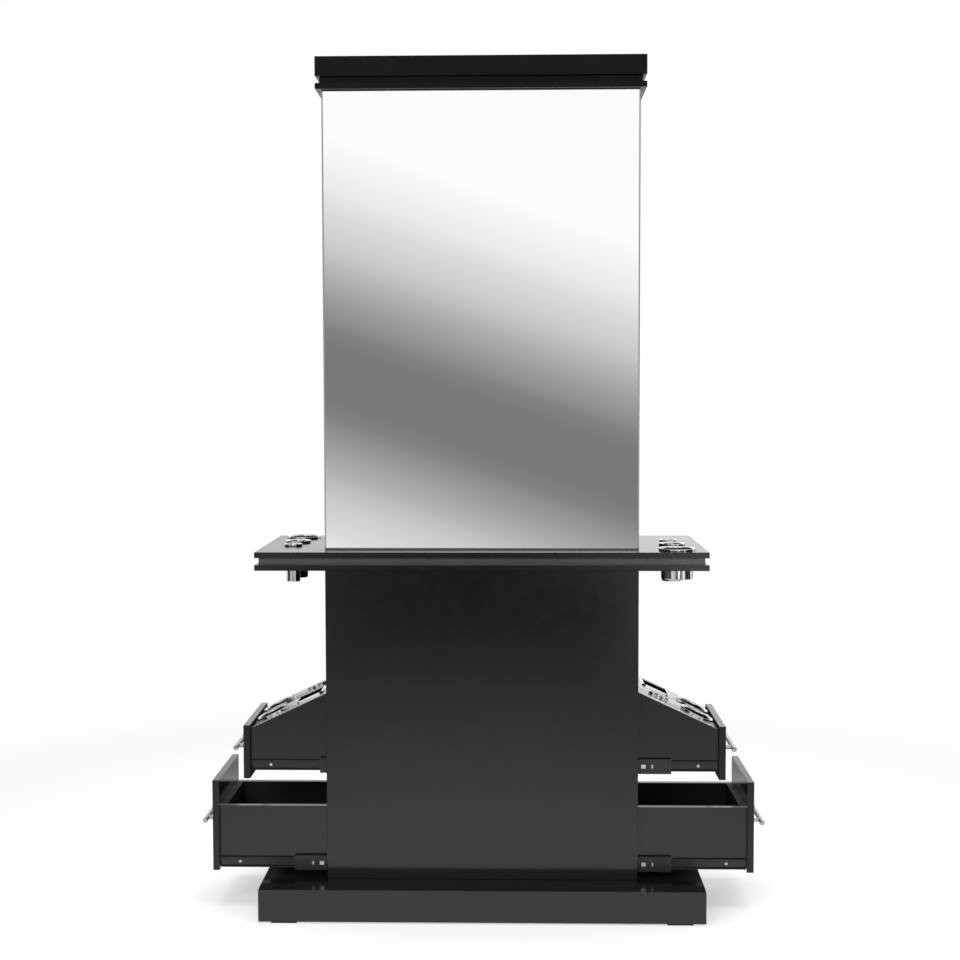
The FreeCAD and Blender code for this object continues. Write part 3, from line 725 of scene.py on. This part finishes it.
def make_handle(side, level, material):
    """A round bar with eased ends on two posts, each with a flange at its foot."""
    drawer = "%s_%s_" % (side, level)
    low, high = rest_box(drawer + "handle", side)
    middle = (low[2] + high[2]) / 2
    reach = high[0] - BAR
    half = high[1]
    end = arc((BAR - BAR_EASE, half - BAR_EASE), (BAR_EASE, BAR_EASE), 0, 90, 5)
    stay = half - 4.0
    profile = [(0.0, -half)] + [(x, -z) for x, z in reversed(end)]
    profile += [(BAR, -stay), (BAR, stay)] + end + [(0.0, half)]
    along = Matrix.Translation((reach, 0, middle)) @ Matrix.Rotation(-math.pi / 2, 4, "X")
    shape = Shape()
    shape.add(swept(ring_path(0.0, steps=BAR_STEPS), profile, closed=False), along)
    length = reach - low[0]
    edge = arc((POST_FOOT - FLANGE_EDGE, FLANGE - FLANGE_EDGE), (FLANGE_EDGE, FLANGE_EDGE), 0, 90, 3)
    fillet = arc((POST + FILLET, FLANGE + FILLET), (FILLET, FILLET), -90, -180, 3)
    post = [(0.0, 0.0), (POST_FOOT, 0.0)] + edge + fillet
    post += [(POST, 4.0), (POST, length - 3.0), (0.0, length - 1.0)]
    for across in (-POST_SIDE, POST_SIDE):
        place = Matrix.Translation((low[0], across, middle)) @ Matrix.Rotation(math.pi / 2, 4, "Y")
        shape.add(swept(ring_path(0.0, steps=POST_STEPS), post, closed=False), place)
    handle = shape.piece(drawer + "bar_and_posts", drawer + "drawer", [material], side)
    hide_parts(drawer + "handle")


# ---------------------------------------------------------------- screws, balls and latches of the runners
BAY_HALF = 133.0
RUNNER_SPACE = 12.7
SLIDER_WEB_INSIDE = 3.2
SCREW_RADIUS = 3.6
# dome's height and the recess's depth: on the drawer's member, and flatter on the cabinet's
DRAWER_SCREW = (1.9, 0.9)
CABINET_SCREW = (0.45, 0.4)
# a screw's distance from its member's outer end, and its turn in radians
DRAWER_SCREWS = ((46.0, 0.3), (190.0, 1.0), (262.0, 1.7))
CABINET_SCREWS = ((38.0, 0.5), (134.0, 1.4), (262.0, 2.3))
SCREW_SIDES = 56
SCREW_RINGS = (0.0, 0.1, 0.2, 0.3, 0.4, 0.5, 0.62, 0.75, 0.86, 0.94, 0.99, 1.0)
# shares of the radius: half the width and half the length of the recess's arms
RECESS_ARM = (0.16, 0.56)
DOME_REACH = 0.94
DOME_POWER = 2.6
RUNNER_MIDDLE = 22.6
LATCH_HALF = (17.0, 6.4)
LATCH_CORNER = 2.5
LATCH_SHEET = 0.5
LATCH_EDGE = 0.15
LATCH_EYE = (1.6, (-1.0, 0.0), 20)
EYE_RIM = ((0.0, 0.1), (1.0, 0.6), (1.8, 0.5), (1.8, 0.1))
LATCH_INSET = 56.0
LATCH_CLEAR = 0.75
BALL_RADIUS = 2.3
BALLS_IN_ROW = 9
BALL_PITCH = 6.0
# a race's place across the bay, its rise from the runner's middle, and its first ball along the slider
OUTER_RACE = (126.25, 19.025, 10.0)
INNER_RACE = (125.65, 13.075, 242.0)
BALL_SMOOTH = 80.0


def screw(radius, height, recess):
    """Head of a cross-recessed screw, on z = 0, domed and with its recess sunk into the dome."""
    count = SCREW_SIDES
    around = [out for _, out in ring_path(0.0, steps=count)]
    points = []
    faces = []
    for share in SCREW_RINGS:
        for cosine, sine in around:
            x, y = radius * share * cosine, radius * share * sine
            dome = height * math.sqrt(max(0.0, 1.0 - (DOME_REACH * share) ** DOME_POWER))
            narrow, wide = sorted((abs(x), abs(y)))
            inside = narrow < RECESS_ARM[0] * radius and wide < RECESS_ARM[1] * radius
            points.append((x, y, dome - recess * (1.0 - 0.5 * share) * inside))
    points += [(radius * cosine, radius * sine, 0.0) for cosine, sine in around]
    for start in range(0, len(SCREW_RINGS) * count, count):
        for i in range(count):
            j = (i + 1) % count
            faces.append((start + i, start + j, start + count + j, start + count + i))
    return points, faces


def facing(side_of_bay, x, across, z, turn=0.0):
    """Places a part so that its up points to the gable on that side of the bay (1 back, -1 front)."""
    tip = Matrix.Rotation(-side_of_bay * math.pi / 2, 4, "X")
    return Matrix.Translation((x, side_of_bay * across, z)) @ tip @ Matrix.Rotation(turn, 4, "Z")


def ball_points():
    bm = bmesh.new()
    bmesh.ops.create_uvsphere(bm, u_segments=14, v_segments=9, radius=BALL_RADIUS)
    points = [tuple(v.co) for v in bm.verts]
    faces = [tuple(v.index for v in f.verts) for f in bm.faces]
    bm.free()
    return points, faces


def make_drawer_screws(drawer, side, outer_end, height, zinc):
    web = BAY_HALF - RUNNER_SPACE + SHEET
    shape = Shape()
    for back, turn in DRAWER_SCREWS:
        for bay in (-1, 1):
            place = facing(bay, outer_end - back, web, height, turn)
            shape.add(screw(SCREW_RADIUS, *DRAWER_SCREW), place)
    shape.piece(drawer + "runner_screws", drawer + "drawer", [zinc], side)


def make_latch_leaves(drawer, side, ends, height, zinc):
    """A leaf with an eye near each end of each slider."""
    shape = Shape()
    reach, half = LATCH_HALF
    tab = rounded_path(-reach, reach, -half, half, LATCH_CORNER, 4)
    leaf = cut_sheet(tab, [ring_path(*LATCH_EYE)], LATCH_SHEET, LATCH_EDGE)
    dimple = swept(ring_path(*LATCH_EYE), EYE_RIM)
    for x in (ends[1] - LATCH_INSET, ends[0] + LATCH_INSET):
        for bay in (-1, 1):
            place = facing(bay, x, BAY_HALF - SLIDER_WEB_INSIDE - LATCH_CLEAR, height)
            shape.add(leaf, place)
            shape.add(dimple, place)
    shape.piece(drawer + "latch_leaves", drawer + "sliders", [zinc], side)


def make_balls(drawer, side, inner_end, height, steel):
    shape = Shape()
    ball = ball_points()
    for across, rise, first in (OUTER_RACE, INNER_RACE):
        for k in range(BALLS_IN_ROW):
            for bay in (-1, 1):
                for up in (-1, 1):
                    spot = (inner_end + first + BALL_PITCH * k, bay * across, height + up * rise)
                    shape.add(ball, Matrix.Translation(spot))
    shape.piece(drawer + "bearing_balls", drawer + "sliders", [steel], side, sharp=BALL_SMOOTH)


def make_runner_details(side, level, zinc, steel):
    drawer = "%s_%s_" % (side, level)
    low, high = rest_box(drawer + "drawer_runners", side)
    height = (low[2] + high[2]) / 2
    make_drawer_screws(drawer, side, high[0], height, zinc)
    low, high = rest_box(drawer + "runner_sliders", side)
    make_latch_leaves(drawer, side, (low[0], high[0]), height, zinc)
    make_balls(drawer, side, low[0], height, steel)


def make_cabinet_screws(side, zinc):
    low, high = rest_box(side + "_cabinet_runners", side)
    shape = Shape()
    for height in (low[2] + RUNNER_MIDDLE, high[2] - RUNNER_MIDDLE):
        for back, turn in CABINET_SCREWS:
            for bay in (-1, 1):
                place = facing(-bay, high[0] - back, SHEET - BAY_HALF, height, turn)
                shape.add(screw(SCREW_RADIUS, *CABINET_SCREW), place)
    shape.piece(side + "_cabinet_screws", "station", [zinc], side)


def make_details(look):
    make_holders(look["chrome"])
    for side in SIDES:
        make_tool_plate(side, look["plate"], look["rim"])
        make_cabinet_screws(side, look["zinc"])
        for level in LEVELS:
            make_handle(side, level, look["bar"])
            make_runner_details(side, level, look["zinc"], look["chrome"])


# ---------------------------------------------------------------- materials on the CAD nodes
BLACK = (0.0060, 0.0056, 0.0058)
DEEP_BLACK = (0.0045, 0.0044, 0.0045)
FRONT_BLACK = (0.0035, 0.0033, 0.0034)
SHADED_BLACK = (0.003, 0.003, 0.003)
END_BLACK = (0.012, 0.0115, 0.012)
BAND_GREY = (0.084, 0.083, 0.084)


def grey(level):
    return (level, level, level)


def paint(node, material):
    slots = NODES[node].data.materials
    slots.clear()
    slots.append(material)


def paint_all():
    """Gives every CAD node its material, and returns those that the detail pieces share."""
    look = {
        "body": laminate("black_laminate", BLACK, 0.13, 0.54),
        "counter": laminate("counter_laminate", DEEP_BLACK, 0.13, 0.5),
        "crown": laminate("crown_laminate", DEEP_BLACK, 0.2, 0.1),
        "front": laminate("front_laminate", FRONT_BLACK, 0.13, 0.43),
        "band": laminate("recess_band", BAND_GREY, 0.15, 0.65, 0.01),
        # painted light: drawer bottoms and the box sides' inner faces are lighter than the black laminate,
        # for the light inside the boxes
        "inner_light_and_shade": laminate("drawer_lining", grey(0.04), 0.55, 0.2),
        "walls": board_with_painted_inner_faces("drawer_box", BLACK, 0.14, 0.54, grey(0.035)),
        # painted shade: the upper fronts' inner faces, towards the cabinet, are darker than their outer
        # faces
        "upper_front": board_with_painted_inner_faces(
            "upper_front", FRONT_BLACK, 0.13, 0.43, SHADED_BLACK, axis="X", inner_rough=0.85),
        "edge": laminate("box_end_laminate", END_BLACK, 0.5, 0.12),
        "plate": brushed_steel("plate_steel", (1.0, 22.0, 1.0)),
        "rim": brushed_steel("rim_steel", (4.0, 4.0, 4.0), 0.8, 0.1),
        "bar": brushed_steel("handle_steel", (14.0, 1.0, 14.0), 0.48, 0.17),
        "coat": plated("runner_coat", (0.042, 0.042, 0.043), 0.32, 0.6),
        "zinc": plated("runner_zinc", (0.8, 0.8, 0.81), 0.42, 0.35),
        "cage": laminate("cage_plastic", grey(0.1), 0.45, 0.5),
        "rubber": laminate("glide_plastic", grey(0.02), 0.6, 0.4),
        "chrome": chrome(),
        "glass": mirror_glass(),
    }
    # the last ending that a node's name has is its look; every other node is body
    endings = (
        ("floor_glides", "rubber"), ("counter_battens", "band"), ("mirror_front", "glass"),
        ("mirror_back", "glass"), ("counter_top_slab", "counter"), ("counter_bottom_slab", "counter"),
        ("dryer_holders", "chrome"), ("iron_holders", "chrome"), ("_cabinet_runners", "coat"),
        ("crown_bottom_slab", "crown"), ("crown_core", "crown"), ("crown_top_block", "crown"),
        ("_drawer_front", "front"), ("_upper_drawer_front", "upper_front"), ("_box_bottom", "inner_light_and_shade"),
        ("_box_sides", "walls"), ("_box_ends", "edge"), ("_handle", "bar"), ("_drawer_runners", "coat"),
        ("_tool_plate", "plate"), ("_runner_sliders", "coat"), ("_ball_cages", "cage"))
    for node in NODES:
        material = look["body"]
        for ending, name in endings:
            if node.endswith(ending):
                material = look[name]
        paint(node, material)
    return look


make_camera()
make_world()
make_floor()
make_lights()
make_details(paint_all())

SCENE.view_settings.view_transform = "Standard"
